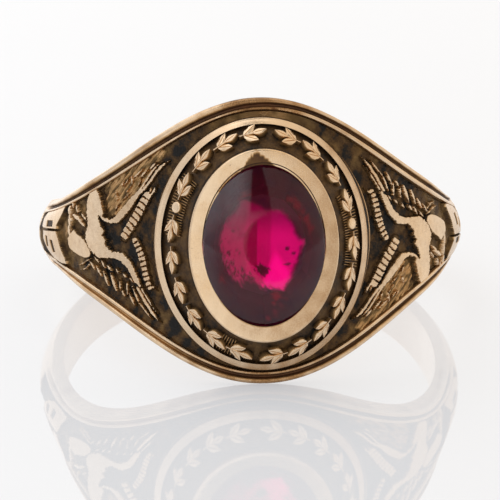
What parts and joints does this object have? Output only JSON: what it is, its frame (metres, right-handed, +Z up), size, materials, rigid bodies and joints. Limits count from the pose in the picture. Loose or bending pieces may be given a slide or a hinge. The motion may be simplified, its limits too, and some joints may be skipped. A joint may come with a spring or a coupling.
{
  "type": "class ring",
  "caption": "Cast gold class ring with a tall oval head, a smooth domed oval stone in a polished bezel, a raised wreath, and raised bird relief on the shoulders.",
  "frame": {"origin": "on the surface that the ring rests on, under the middle of its depth and width", "axes": "+Z up; the head faces -Y; +X to the right as the head is looked at. The finger hole's axis leans from +Z towards +Y by the angle at which the ring rests, about 16 degrees"},
  "size_m": [0.0202, 0.0225, 0.013],
  "materials": {
    "gold": "pale worn 10 carat gold, polished on the high parts and darkened in the recesses",
    "gem": "deep purplish red stone with a polished smooth dome"
  },
  "bodies": {
    "root": {"ring_body": "gold", "stone": "gem"}
  },
  "joints": []
}
